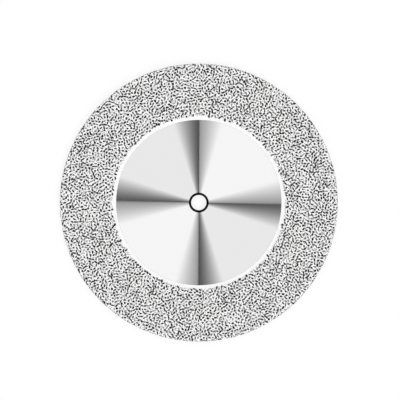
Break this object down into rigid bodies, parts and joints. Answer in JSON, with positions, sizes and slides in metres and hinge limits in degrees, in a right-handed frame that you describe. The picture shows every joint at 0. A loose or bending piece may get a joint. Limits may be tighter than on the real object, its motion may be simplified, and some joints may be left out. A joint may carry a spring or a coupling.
{
  "type": "double-sided diamond disc",
  "caption": "Thin round grinding and cutting disc: a bored spring-steel hub with a nickel-bonded diamond band on each face and round the rim.",
  "frame": {"origin": "centre of the bore at mid-thickness, which is also the centre of the disc", "axes": "+Z along the axis that the disc spins on, square to its faces; X and Y lie in the disc, which is round and alike on both faces"},
  "size_m": [0.03, 0.03, 0.0004],
  "materials": {
    "turned_steel": "satin",
    "diamond_grit": "matte"
  },
  "bodies": {
    "root": {"steel_disc": "turned_steel", "diamond_coating": "diamond_grit"}
  },
  "joints": []
}
